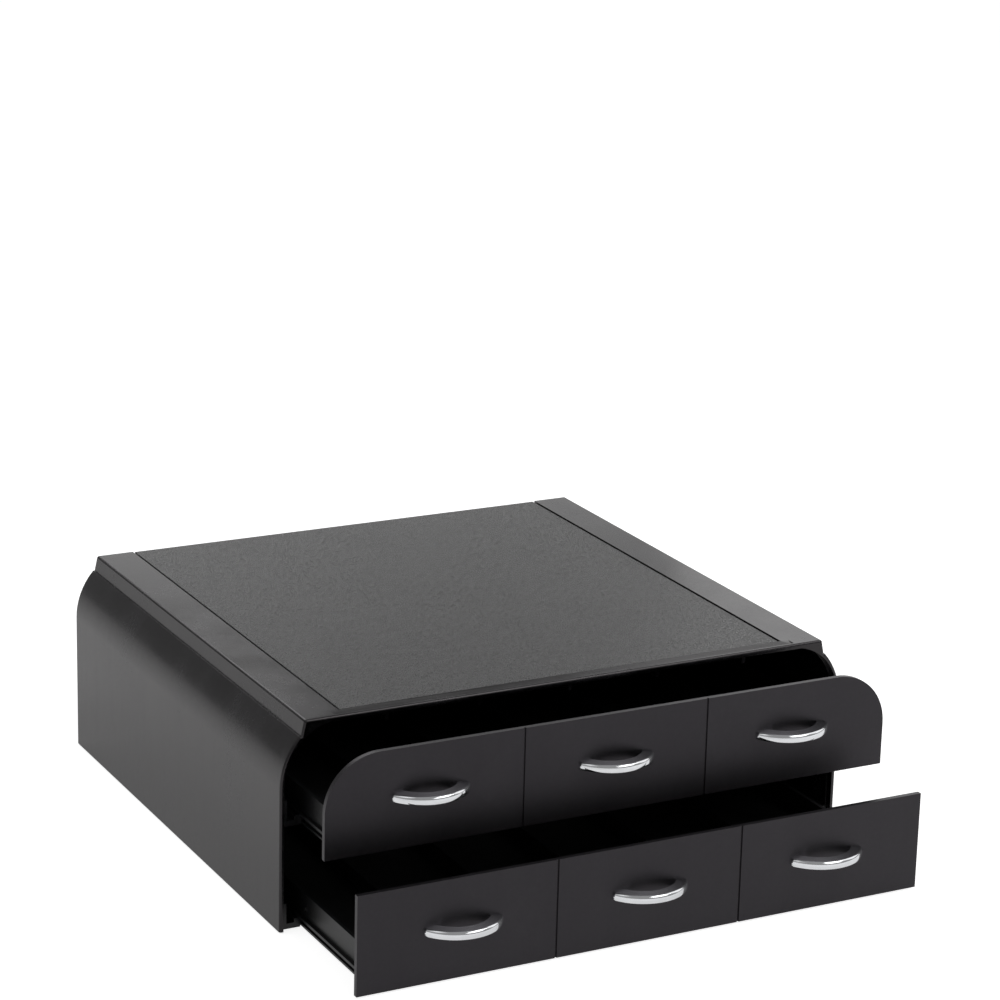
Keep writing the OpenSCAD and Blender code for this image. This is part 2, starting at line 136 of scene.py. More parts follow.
def colour(name, description, default):
    """A linear colour setting."""
    return bpy.props.FloatVectorProperty(name=name, description=description, default=default,
                                         subtype="COLOR", size=3, min=0.0, max=1.0)


class PodCabinetSizes(bpy.types.PropertyGroup):
    """Sizes of the finish that the frame leaves open."""

    shell_round: length("Shell edge", "Rounding of the shell's outer edges", 0.0005)
    arch_round: length("Arch edge", "Rounding of the shell's outer edge at the front", 0.0014)
    plate_round: length("Front edge", "Rounding of the drawer fronts' edges", 0.00045)
    tray_round: length("Tray edge", "Rounding of the thin edges of trays and stop clips", 0.0003)
    small_round: length("Small edge", "Rounding of runners and feet", 0.00035)
    handle_round: length("Handle edge", "Rounding of the handle's edges", 0.00022)
    handle_belly: length("Handle belly", "Swell of the handle's front face", 0.00012)
    handle_shoulder: length("Handle shoulder", "Radius of the shoulder along the top of a handle", 0.0018)
    handle_crown: length("Handle crown", "Width of a handle's sloping top", 0.0045)
    handle_slope: angle("Handle slope", "Forward slope of a handle's top", 10)
    handle_foot: length("Handle foot", "Depth of a handle's feet", 0.0013)
    handle_ledge: length("Handle ledge", "Ledge of each foot beside the bow", 0.0003)
    gap_width: length("Finger gap width", "Width of the finger gap at the front", 0.0328)
    gap_depth: length("Finger gap depth", "Depth of the finger gap behind the bow", 0.0088)
    shank_width: length("Shank width", "Diameter of a screw over its thread", 0.0025)
    thread_pitch: length("Thread pitch", "Rise of the screw thread in one turn", 0.0008)
    thread_depth: length("Thread depth", "Depth of the screw thread", 0.00022)
    head_thick: length("Head thickness", "Thickness of the screw heads", 0.0014)
    recess_width: length("Recess width", "Width of the cross recess in the screw heads", 0.0006)
    recess_span: length("Recess span", "Span of the cross recess in the screw heads", 0.0026)
    recess_depth: length("Recess depth", "Depth of the cross recess in the screw heads", 0.0008)
    grain_size: length("Grain size", "Width of one pebble of the grained panel", 0.0014)


class PodCabinetColours(bpy.types.PropertyGroup):
    """Colours and gloss of the finishes."""

    housing: colour("Housing", "Satin black of the shell", (0.006, 0.006, 0.0066))
    panel: colour("Top panel", "Black of the grained panel", (0.006, 0.006, 0.0065))
    front: colour("Fronts", "Fine satin black of the drawer fronts", (0.0062, 0.006, 0.0064))
    tray: colour("Trays", "Satin black of the trays", (0.008, 0.008, 0.0088))
    runner: colour("Runners", "Black of the runners and clips", (0.008, 0.008, 0.0086))
    chrome: colour("Handles", "Bright chrome of the handles", (0.80, 0.81, 0.83))
    zinc: colour("Screws", "Zinc plating of the screws", (0.50, 0.51, 0.54))
    rubber: colour("Feet", "Rubber of the foot pads", (0.014, 0.014, 0.014))
    housing_cast: colour("Housing cast", "Tint of the light that the shell reflects", (1.0, 0.94, 0.97))
    front_cast: colour("Front cast", "Tint of the light that the drawer fronts reflect", (0.97, 0.90, 1.0))
    housing_gloss: share("Housing roughness", "Roughness of the shell", 0.24)
    panel_gloss: share("Panel roughness", "Roughness of the grained panel", 0.25)
    front_gloss: share("Front roughness", "Roughness of the drawer fronts", 0.38)
    tray_gloss: share("Tray roughness", "Roughness of the trays", 0.38)
    runner_gloss: share("Runner roughness", "Roughness of the runners and clips", 0.34)


class PodCabinetStudio(bpy.types.PropertyGroup):
    """Camera, floor and surroundings."""

    eye: bpy.props.FloatVectorProperty(name="Camera", description="Place of the camera", size=3,
                                       subtype="TRANSLATION", default=(-0.83649, -1.59397, 0.739))
    yaw: angle("Yaw", "Turn of the camera from the depth axis", 27.826)
    pitch: angle("Pitch", "Downward tilt of the camera", 16.742)
    roll: angle("Roll", "Roll of the camera", 1.472)
    lens: bpy.props.FloatProperty(name="Lens", description="Focal length in millimetres", default=117.04)
    reach: length("Reach", "Distance up to which the camera sees", 30.0)
    floor: colour("Floor", "Colour of the floor", (0.80, 0.80, 0.80))
    floor_radius: length("Floor radius", "Radius of the round floor", 8.0)
    floor_drop: length("Floor drop", "Gap between the feet and the floor", 0.00005)
    floor_lift: share("Floor lift", "Light added to the floor where it is seen directly", 0.85)
    mirrored_floor: share("Mirrored floor", "Share of the floor's lift that shiny surfaces show", 0.48)
    mirrored_sky: share("Mirrored sky", "Share of the white surroundings that shiny surfaces show", 0.12)
    sky: share("Sky", "Strength of the even light from all round", 0.20)


# Small tools -----------------------------------------------------------------------------------


def activate(piece):
    """Leaves only this piece selected, and active."""
    bpy.ops.object.select_all(action="DESELECT")
    piece.select_set(True)
    bpy.context.view_layer.objects.active = piece


def new_object(name, data):
    """Puts a mesh, a lamp or a camera in the scene."""
    made = bpy.data.objects.new(name, data)
    bpy.context.scene.collection.objects.link(made)
    return made


def start_edit(piece, action="DESELECT"):
    """Enters edit mode on a piece, with everything or nothing selected."""
    activate(piece)
    bpy.ops.object.mode_set(mode="EDIT")
    bpy.ops.mesh.select_mode(type="VERT")
    bpy.ops.mesh.select_all(action=action)


def end_edit():
    """Leaves edit mode."""
    bpy.ops.object.mode_set(mode="OBJECT")


def pick(piece, kind, test):
    """Selects the vertices, edges or faces that pass a test, in edit mode."""
    bpy.ops.mesh.select_all(action="DESELECT")
    bpy.ops.mesh.select_mode(type={"verts": "VERT", "edges": "EDGE", "faces": "FACE"}[kind])
    mesh = bmesh.from_edit_mesh(piece.data)
    for part in getattr(mesh, kind):
        if test(part):
            part.select_set(True)
    mesh.select_flush_mode()
    bmesh.update_edit_mesh(piece.data)


def apply_modifier(piece, kind, **settings):
    """Adds a modifier, sets it and applies it."""
    activate(piece)
    modifier = piece.modifiers.new(kind.lower(), kind)
    for name, value in settings.items():
        setattr(modifier, name, value)
    bpy.ops.object.modifier_apply(modifier=modifier.name)


def round_edges(piece, width, segments=3, crease=CREASE):
    """Rounds every edge that is sharper than an angle and shades the piece smooth."""
    apply_modifier(piece, "BEVEL", width=width, segments=segments, limit_method="ANGLE",
                   angle_limit=crease, use_clamp_overlap=True, harden_normals=False,
                   miter_outer="MITER_ARC")
    activate(piece)
    bpy.ops.object.shade_smooth_by_angle(angle=crease)
    apply_modifier(piece, "WEIGHTED_NORMAL", keep_sharp=True, weight=60)


def cut_out(piece, cutter):
    """Cuts one mesh out of another and removes the cutter."""
    apply_modifier(piece, "BOOLEAN", operation="DIFFERENCE", object=cutter, solver="EXACT")
    bpy.data.objects.remove(cutter)


def apply_place(piece):
    """Moves a piece's place, turn and scale into its mesh."""
    activate(piece)
    bpy.ops.object.transform_apply(location=True, rotation=True, scale=True)


def copy_of_node(node, name):
    """A copy of a frame node's mesh, welded and with its flat faces whole."""
    piece = new_object(name, frame["nodes"][node].data.copy())
    piece.data.materials.clear()
    start_edit(piece, "SELECT")
    bpy.ops.mesh.remove_doubles(threshold=WELD)
    bpy.ops.mesh.dissolve_limited(angle_limit=FLAT)
    end_edit()
    return piece


def dress(piece, slot, *nodes):
    """Gives a piece its finish, body and material slot, in place of frame nodes."""
    piece.data.materials.clear()
    piece.data.materials.append(finish(slot))
    for body, members in frame["record"]["behaviour"]["bodies"].items():
        if nodes[0] in members:
            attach(piece, body)
    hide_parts(*nodes)


# Shader nodes ----------------------------------------------------------------------------------


def add_node(tree, kind, *values, fields=None, **settings):
    """Adds a shader node. Values fill its first inputs, and fields its named ones."""
    made = tree.nodes.new(kind)
    for name, value in settings.items():
        setattr(made, name, value)
    named = [(made.inputs[label], value) for label, value in (fields or {}).items()]
    for socket, value in [*zip(made.inputs, values), *named]:
        if isinstance(value, bpy.types.NodeSocket):
            tree.links.new(value, socket)
        else:
            socket.default_value = value
    return made


def math_node(tree, operation, *values):
    """What a Math node makes of numbers or sockets."""
    return add_node(tree, "ShaderNodeMath", *values, operation=operation).outputs[0]


def plus(tree, first, second):
    """One value added to another."""
    return math_node(tree, "ADD", first, second)


def times(tree, first, second):
    """One value multiplied by another."""
    return math_node(tree, "MULTIPLY", first, second)


def remap(tree, value, old, new=(0.0, 1.0)):
    """Maps one range of values to another, held at its ends."""
    return add_node(tree, "ShaderNodeMapRange", value, *old, *new).outputs[0]


def scaled(tree, vector, amount):
    """Multiplies a colour or a vector by a value that varies over the surface."""
    made = add_node(tree, "ShaderNodeVectorMath", vector, fields={"Scale": amount}, operation="SCALE")
    return made.outputs[0]


def group(name, inputs, outputs):
    """An empty node group with named inputs and outputs, and the sockets that it takes and gives."""
    tree = bpy.data.node_groups.new(name, "ShaderNodeTree")
    for label, kind, default in inputs:
        socket = tree.interface.new_socket(name=label, in_out="INPUT", socket_type=kind)
        socket.default_value = default
    for label, kind in outputs:
        tree.interface.new_socket(name=label, in_out="OUTPUT", socket_type=kind)
    return tree, add_node(tree, "NodeGroupInput").outputs, add_node(tree, "NodeGroupOutput").inputs


def object_place(tree):
    """The place on the piece, in its own space."""
    return add_node(tree, "ShaderNodeTexCoord").outputs["Object"]


def noise(tree, scale, detail=3.0, roughness=0.5, place=None, stretch=None):
    """Noise over the object's own space, with a scale in features per metre."""
    place = place or object_place(tree)
    if stretch:
        place = add_node(tree, "ShaderNodeMapping", place, fields={"Scale": stretch}).outputs[0]
    fields = {"Vector": place, "Scale": scale, "Detail": detail, "Roughness": roughness}
    return add_node(tree, "ShaderNodeTexNoise", fields=fields).outputs["Fac"]


def background_share(tree, mirrored_share):
    """1 where a ray sees the background, a share in a mirror or through glass, and 0 for its light."""
    ray = add_node(tree, "ShaderNodeLightPath").outputs
    mirrored = math_node(tree, "MAXIMUM", ray["Is Glossy Ray"], ray["Is Transmission Ray"])
    return math_node(tree, "MAXIMUM", ray["Is Camera Ray"], times(tree, mirrored, mirrored_share))


def moulded_skin_group():
    """Slow flow marks and a fine spark-eroded texture, as on injection moulded plastic."""
    flow_share = 0.7  # the rest is fine speckle
    middle = 0.5  # the mean of the noise
    bloom_gain = 40.0  # how much more the marks change the colour than the roughness
    darkest = 0.2
    tree, taken, given = group("moulded_skin", [
        ("Color", COLOUR, (0.02, 0.02, 0.02, 1.0)), ("Roughness", FLOAT, 0.4),
        ("Mottle", FLOAT, 0.12), ("Texture Scale", FLOAT, TEXTURE_SCALE)],
        [("Color", COLOUR), ("Roughness", FLOAT), ("Height", FLOAT)])
    flow = noise(tree, 28.0, detail=4.0, roughness=0.6, stretch=(1.0, 1.0, 0.2))
    speckle = noise(tree, 420.0, detail=2.0, roughness=0.6)
    both = plus(tree, times(tree, flow, flow_share), times(tree, speckle, 1.0 - flow_share))
    swing = times(tree, math_node(tree, "SUBTRACT", both, middle), taken["Mottle"])
    bloom = math_node(tree, "MAXIMUM", plus(tree, times(tree, swing, bloom_gain), 1.0), darkest)
    tree.links.new(scaled(tree, taken["Color"], bloom), given["Color"])
    tree.links.new(plus(tree, taken["Roughness"], swing), given["Roughness"])
    tree.links.new(noise(tree, taken["Texture Scale"], detail=2.0, roughness=0.6), given["Height"])


def leather_grain_group():
    """Pebbles of uneven size with creases between them."""
    crease_width = 0.22  # share of a pebble's width
    dome_power = 0.6  # under 1 a pebble rises steeply and is flat on top
    lowest_dome = 0.3
    patch_scale = 0.45  # of the uneven heights, in the pebbles' own scale
    tooth_scale = 4.0  # of the fine tooth, in the pebbles' own scale
    tooth_height = 0.12
    tree, taken, given = group("leather_grain", [("Pebble Size", FLOAT, 0.0011), ("Wander", FLOAT, 0.0004)],
                               [("Height", FLOAT), ("Crease", FLOAT)])
    place = object_place(tree)
    sway = add_node(tree, "ShaderNodeTexNoise", fields={"Vector": place, "Scale": 900.0, "Detail": 2.0})
    centred = add_node(tree, "ShaderNodeVectorMath", sway.outputs["Color"], (0.5, 0.5, 0.5),
                       operation="SUBTRACT")
    shift = scaled(tree, centred.outputs[0], taken["Wander"])
    moved = add_node(tree, "ShaderNodeVectorMath", place, shift, operation="ADD").outputs[0]
    scale = math_node(tree, "DIVIDE", 1.0, taken["Pebble Size"])
    cells = add_node(tree, "ShaderNodeTexVoronoi", fields={"Vector": moved, "Scale": scale},
                     feature="DISTANCE_TO_EDGE")
    crease = remap(tree, cells.outputs["Distance"], (0.0, crease_width))
    dome = math_node(tree, "POWER", crease, dome_power)
    uneven = noise(tree, times(tree, scale, patch_scale), detail=2.0, place=moved)
    tooth = noise(tree, times(tree, scale, tooth_scale), detail=2.0, roughness=0.6, place=moved)
    domes = times(tree, dome, plus(tree, uneven, lowest_dome))
    tree.links.new(plus(tree, domes, times(tree, tooth, tooth_height)), given["Height"])
    tree.links.new(crease, given["Crease"])


def scuff_group():
    """A mask of faint hairline scuffs that run in two directions."""
    tree, taken, given = group("hairline_scuffs", [("Amount", FLOAT, 0.5)], [("Mask", FLOAT)])
    lines = {"scale": 30.0, "detail": 3.0, "roughness": 0.6}
    along = remap(tree, noise(tree, **lines, stretch=(1.0, 26.0, 26.0)), (0.66, 0.74))
    across = remap(tree, noise(tree, **lines, stretch=(26.0, 1.0, 20.0)), (0.67, 0.75))
    patches = remap(tree, noise(tree, 9.0, detail=2.0), (0.45, 0.7))
    mask = times(tree, math_node(tree, "MAXIMUM", along, across), patches)
    tree.links.new(times(tree, mask, taken["Amount"]), given["Mask"])


def edge_rub_group():
    """A mask of rubbed outer edges."""
    tree, taken, given = group("edge_rub", [("Amount", FLOAT, 0.5)], [("Mask", FLOAT)])
    bend = add_node(tree, "ShaderNodeNewGeometry").outputs["Pointiness"]
    edge = remap(tree, bend, (0.51, 0.60))
    broken = remap(tree, noise(tree, 160.0, detail=4.0, roughness=0.7), (0.35, 0.65), (0.2, 1.0))
    tree.links.new(times(tree, times(tree, edge, broken), taken["Amount"]), given["Mask"])


def place_group(tree, name, **values):
    """Places a node group in a material with its own values."""
    fields = {label.replace("_", " "): value for label, value in values.items()}
    return add_node(tree, "ShaderNodeGroup", fields=fields, node_tree=bpy.data.node_groups[name]).outputs


def new_material(name, **constants):
    """A material with a Principled shader whose constant inputs are set on its own sockets."""
    material = bpy.data.materials.new(name)
    material.use_nodes = True
    tree = material.node_tree
    shader = tree.nodes["Principled BSDF"]
    for label, value in constants.items():
        shader.inputs[label.replace("_", " ")].default_value = value
    return tree, shader.inputs


def bump(tree, height, distance, strength=1.0):
    """A normal that follows a height, whose full rise is a distance in metres."""
    fields = {"Strength": strength, "Distance": distance, "Height": height}
    return add_node(tree, "ShaderNodeBump", fields=fields).outputs["Normal"]


def opaque(rgb):
    """A colour with full alpha."""
    return (*rgb, 1.0)


def plastic(name, rgb, roughness, cast=WHITE[:3], mottle=0.10, scuffs=0.4):
    """Black moulded plastic: flow marks, spark-eroded texture, hairline scuffs and rubbed edges."""
    tree, shader = new_material(name, Specular_Tint=opaque(cast))
    skin = place_group(tree, "moulded_skin", Color=opaque(rgb), Roughness=roughness, Mottle=mottle,
                       Texture_Scale=TEXTURE_SCALE)
    scuff = place_group(tree, "hairline_scuffs", Amount=scuffs)["Mask"]
    rubbed = place_group(tree, "edge_rub", Amount=RUB)["Mask"]
    lift = plus(tree, times(tree, scuff, SCUFF_LIGHTENS), times(tree, rubbed, RUB_LIGHTENS))
    tree.links.new(scaled(tree, skin["Color"], plus(tree, lift, 1.0)), shader["Base Color"])
    smoother = math_node(tree, "SUBTRACT", skin["Roughness"], times(tree, rubbed, RUB_SMOOTHS))
    tree.links.new(plus(tree, smoother, times(tree, scuff, SCUFF_ROUGHENS)), shader["Roughness"])
    tree.links.new(bump(tree, skin["Height"], TEXTURE_RELIEF), shader["Normal"])


def grained_plastic(name, rgb, roughness, pebble):
    """Black plastic with a pressed leather grain, with painted shade darkening its creases, glossier on top
    of the pebbles.
    """
    relief = 0.0001
    tree, shader = new_material(name, Specular_IOR_Level=0.38)
    grain = place_group(tree, "leather_grain", Pebble_Size=pebble, Wander=pebble / 2)
    skin = place_group(tree, "moulded_skin", Color=opaque(rgb), Roughness=roughness, Mottle=0.08,
                       Texture_Scale=3200.0)
    # painted shade: the colour is darkened in the grain's creases and a little lighter on top of the pebbles
    shade = remap(tree, grain["Crease"], (0.0, 1.0), (0.45, 1.1))
    tree.links.new(scaled(tree, skin["Color"], shade), shader["Base Color"])
    worn = remap(tree, grain["Crease"], (0.0, 1.0), (0.12, -0.03))
    tree.links.new(plus(tree, skin["Roughness"], worn), shader["Roughness"])
    tree.links.new(bump(tree, grain["Height"], relief), shader["Normal"])


def bright_chrome(name, rgb):
    """Polished chrome with faint polishing haze and a few finger marks."""
    relief = 0.00001
    marks_roughen = 0.05
    tree, shader = new_material(name, Metallic=1.0)
    haze = noise(tree, 120.0, detail=4.0, roughness=0.6)
    marks = remap(tree, noise(tree, 60.0, roughness=0.6), (0.55, 0.75))
    shade = remap(tree, haze, NOISE_SPAN, (0.96, 1.02))
    tree.links.new(scaled(tree, tuple(rgb), shade), shader["Base Color"])
    polish = remap(tree, haze, NOISE_SPAN, (0.05, 0.09))
    tree.links.new(plus(tree, polish, times(tree, marks, marks_roughen)), shader["Roughness"])
    tree.links.new(bump(tree, noise(tree, 260.0, detail=2.0), relief, strength=0.5), shader["Normal"])


def zinc_steel(name, rgb):
    """Zinc-plated steel with a mottled bluish film and fine turning marks."""
    relief = 0.00001
    tree, shader = new_material(name, Metallic=1.0)
    film = noise(tree, 700.0, detail=4.0, roughness=0.6)
    shade = remap(tree, film, NOISE_SPAN, (0.75, 1.15))
    tree.links.new(scaled(tree, tuple(rgb), shade), shader["Base Color"])
    tree.links.new(remap(tree, film, NOISE_SPAN, (0.26, 0.42)), shader["Roughness"])
    tree.links.new(bump(tree, noise(tree, 5000.0, detail=2.0), relief, strength=0.6), shader["Normal"])


def matt_rubber(name, rgb):
    """Black rubber with a chalky bloom and a fine tooth."""
    relief = 0.00004
    tree, shader = new_material(name, Specular_IOR_Level=0.35)
    bloom = noise(tree, 500.0, detail=4.0, roughness=0.65)
    shade = remap(tree, bloom, NOISE_SPAN, (0.7, 1.6))
    tree.links.new(scaled(tree, tuple(rgb), shade), shader["Base Color"])
    tree.links.new(remap(tree, bloom, NOISE_SPAN, (0.75, 0.9)), shader["Roughness"])
    tree.links.new(bump(tree, noise(tree, 4000.0), relief), shader["Normal"])


def finish(slot):
    """The finish of a material slot. The first call builds every node group and material."""
    colours = bpy.context.scene.pod_colours
    if "moulded_skin" not in bpy.data.node_groups:
        moulded_skin_group()
        leather_grain_group()
        scuff_group()
        edge_rub_group()
        plastic("housing_plastic_finish", colours.housing, colours.housing_gloss, colours.housing_cast,
                mottle=0.35)
        grained_plastic("grained_panel_finish", colours.panel, colours.panel_gloss,
                        bpy.context.scene.pod_sizes.grain_size)
        plastic("front_plastic_finish", colours.front, colours.front_gloss, colours.front_cast,
                mottle=0.08, scuffs=0.25)
        plastic("tray_plastic_finish", colours.tray, colours.tray_gloss, scuffs=0.5)
        plastic("runner_plastic_finish", colours.runner, colours.runner_gloss, scuffs=0.5)
        bright_chrome("handle_chrome_finish", colours.chrome)
        zinc_steel("screw_steel_finish", colours.zinc)
        matt_rubber("foot_rubber_finish", colours.rubber)
    return bpy.data.materials[slot + "_finish"]


# Pieces ----------------------------------------------------------------------------------------


def moulded_copy(node, slot, width):
    """A moulding that follows its frame node, with rounded edges."""
    piece = copy_of_node(node, node + "_moulding")
    round_edges(piece, width)
    dress(piece, slot, node)


def solid_boxes(node):
    """The lowest and highest corner of each separate solid in a frame node, in a steady order."""
    mesh = bmesh.new()
    mesh.from_mesh(frame["nodes"][node].data)
    bmesh.ops.remove_doubles(mesh, verts=mesh.verts, dist=WELD)
    left = set(mesh.verts)
    boxes = []
    while left:
        stack = [left.pop()]
        solid = []
        while stack:
            vertex = stack.pop()
            solid.append(vertex.co.copy())
            for edge in vertex.link_edges:
                other = edge.other_vert(vertex)
                if other in left:
                    left.discard(other)
                    stack.append(other)
        boxes.append([Vector(end(co[axis] for co in solid) for axis in range(3)) for end in (min, max)])
    mesh.free()
    return sorted(boxes, key=lambda box: tuple(round(value, 5) for value in box[0]))


def threaded_shank(depth, sizes):
    """A screw shank along +Z from z = 0, with a helical thread and closed ends."""
    radius = sizes.shank_width / 2
    root = radius - sizes.thread_depth
    pitch = sizes.thread_pitch
    rise, fall = THREAD_CREST
    mesh = bpy.data.meshes.new("shank")
    mesh.from_pydata([(root, 0, 0), (radius, 0, pitch * rise), (radius, 0, pitch * fall), (root, 0, pitch)],
                     [(0, 1), (1, 2), (2, 3)], [])
    shank = new_object("shank", mesh)
    shank.location.z = -SPARE_TURNS * pitch
    turns = math.ceil(depth / pitch) + 2 * SPARE_TURNS
    apply_modifier(shank, "SCREW", axis="Z", screw_offset=pitch, iterations=turns, steps=THREAD_STEPS,
                   render_steps=THREAD_STEPS, use_merge_vertices=False)
    apply_place(shank)
    start_edit(shank, "SELECT")
    bpy.ops.mesh.remove_doubles(threshold=WELD)
    for height, side in ((0.0, "clear_inner"), (depth, "clear_outer")):
        bpy.ops.mesh.select_all(action="SELECT")
        bpy.ops.mesh.bisect(plane_co=(0, 0, height), plane_no=(0, 0, 1), use_fill=True, threshold=FINE,
                            **{side: True})
    bpy.ops.mesh.select_all(action="SELECT")
    bpy.ops.mesh.normals_make_consistent(inside=False)
    end_edit()
    return shank


def pan_head(radius, sizes):
    """A domed screw head below z = 0 with a cross recess in its outer face."""
    thick = sizes.head_thick
    bpy.ops.object.select_all(action="DESELECT")
    bpy.ops.mesh.primitive_cylinder_add(vertices=HEAD_SIDES, radius=radius, depth=thick,
                                        location=(0, 0, -thick / 2))
    head = bpy.context.object
    apply_place(head)
    start_edit(head)
    pick(head, "edges", lambda edge: all(vertex.co.z < -thick / 2 for vertex in edge.verts))
    bpy.ops.mesh.bevel(offset=thick * HEAD_DOME, segments=4, affect="EDGES")
    end_edit()
    for turn in (0.0, math.pi / 2):
        bpy.ops.object.select_all(action="DESELECT")
        bpy.ops.mesh.primitive_cube_add(size=1.0, location=(0, 0, -thick))
        cutter = bpy.context.object
        cutter.scale = (sizes.recess_span, sizes.recess_width, 2 * sizes.recess_depth)
        cutter.rotation_euler.z = turn
        apply_place(cutter)
        start_edit(cutter)
        pick(cutter, "faces", lambda face: face.normal.z > FACING)
        bpy.ops.transform.resize(value=RECESS_TAPER)
        end_edit()
        cut_out(head, cutter)
    return head


def screw(node, lowest, highest, head_high, sizes):
    """One screw in the place of a frame solid. Its head is at the high or low end of its long axis."""
    extent = highest - lowest
    axis = max(range(3), key=lambda i: extent[i])
    across = [extent[i] for i in range(3) if i != axis]
    head = pan_head(max(across) / 2, sizes)
    shank = threaded_shank(extent[axis] - sizes.head_thick, sizes)
    activate(head)
    shank.select_set(True)
    bpy.ops.object.join()
    made = bpy.context.object
    made.name = node + "_one"
    forward = Vector([float(i == axis) for i in range(3)]) * (-1.0 if head_high else 1.0)
    made.rotation_mode = "QUATERNION"
    made.rotation_quaternion = Vector((0, 0, 1)).rotation_difference(forward)
    seat = (lowest + highest) / 2
    seat[axis] = highest[axis] - sizes.head_thick if head_high else lowest[axis] + sizes.head_thick
    made.location = seat
    apply_place(made)
    return made


def screw_set(node, sizes, head_high=lambda lowest: True):
    """Every screw of a frame node, joined as one piece. head_high tells from a screw's lowest corner."""
    made = [screw(node, lowest, highest, head_high(lowest), sizes) for lowest, highest in solid_boxes(node)]
    activate(made[0])
    for other in made[1:]:
        other.select_set(True)
    bpy.ops.object.join()
    piece = bpy.context.object
    piece.name = node + "_set"
    bpy.ops.object.shade_smooth_by_angle(angle=SCREW_CREASE)
    dress(piece, "screw_steel", node)


def lathe(name, outline):
    """A closed solid of revolution about Z, from points of radius and height."""
    mesh = bpy.data.meshes.new(name)
    mesh.from_pydata([(radius, 0.0, height) for radius, height in outline],
                     [(i, i + 1) for i in range(len(outline) - 1)], [])
    solid = new_object(name, mesh)
    apply_modifier(solid, "SCREW", axis="Z", steps=BOW_STEPS, render_steps=BOW_STEPS, use_merge_vertices=True,
                   merge_threshold=WELD)
    start_edit(solid, "SELECT")
    bpy.ops.mesh.normals_make_consistent(inside=False)
    end_edit()
    return solid


def bow_outline(radius, tall, sizes):
    """Half the section of a bow's disc: a flat base, a swelling face, a round shoulder and a sloping top."""
    low, high = -tall / 2, tall / 2
    shoulder_r = sizes.handle_shoulder
    edge = radius - sizes.handle_belly
    rise = sizes.handle_crown * math.tan(sizes.handle_slope)
    face_top = high - rise - shoulder_r * math.cos(sizes.handle_slope)
    half_face = (face_top - low) / 2
    curve = (half_face ** 2 + sizes.handle_belly ** 2) / (2 * sizes.handle_belly)
    spread = math.asin(half_face / curve)
    turns = [spread * step / FACE_STEPS for step in range(-FACE_STEPS, FACE_STEPS + 1)]
    face = [(radius - curve + curve * math.cos(turn), low + half_face + curve * math.sin(turn))
            for turn in turns]
    full_turn = math.pi / 2 - sizes.handle_slope
    turns = [full_turn * step / SHOULDER_STEPS for step in range(1, SHOULDER_STEPS + 1)]
    shoulder = [(edge - shoulder_r * (1 - math.cos(turn)), face_top + shoulder_r * math.sin(turn))
                for turn in turns]
    crown = (shoulder[-1][0] - sizes.handle_crown, high)
    return [(0.0, low), *face, *shoulder, crown, (0.0, high)]


def bow_handle(node, sizes):
    """A chrome bow in the place of a frame handle: a crescent with a round shoulder, on two feet."""
    lowest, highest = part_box(node)
    plate_y = highest.y
    reach = highest.y - lowest.y
    half = (highest.x - lowest.x) / 2 - sizes.handle_ledge
    rise = reach - sizes.handle_foot
    bow_r = (half ** 2 + rise ** 2) / (2 * rise)
    gap_r = ((sizes.gap_width / 2) ** 2 + sizes.gap_depth ** 2) / (2 * sizes.gap_depth)
    tall = highest.z - lowest.z
    middle = (lowest + highest) / 2
    foot_y = plate_y - sizes.handle_foot
    bow = lathe(node + "_bow", bow_outline(bow_r, tall, sizes))
    bow.location = (middle.x, lowest.y + bow_r, middle.z)
    apply_place(bow)
    start_edit(bow, "SELECT")
    bpy.ops.mesh.bisect(plane_co=(0, foot_y, 0), plane_no=(0, 1, 0), use_fill=True, clear_outer=True)
    pick(bow, "faces", lambda face: face.normal.y > FACING and face.calc_center_median().y > foot_y - WELD)
    bpy.ops.mesh.extrude_region_move(TRANSFORM_OT_translate={"value": (0, sizes.handle_foot, 0)})
    end_edit()
    bpy.ops.object.select_all(action="DESELECT")
    bpy.ops.mesh.primitive_cylinder_add(vertices=BOW_STEPS, radius=gap_r, depth=2 * tall,
                                        location=(middle.x, plate_y + gap_r - sizes.gap_depth, middle.z))
    finger_gap = bpy.context.object
    apply_place(finger_gap)
    cut_out(bow, finger_gap)
    start_edit(bow, "SELECT")
    bpy.ops.mesh.remove_doubles(threshold=WELD)
    bpy.ops.mesh.dissolve_limited(angle_limit=BOW_FLAT)
    end_edit()
    round_edges(bow, sizes.handle_round, segments=4, crease=BOW_CREASE)
    return bow


# Operators -------------------------------------------------------------------------------------


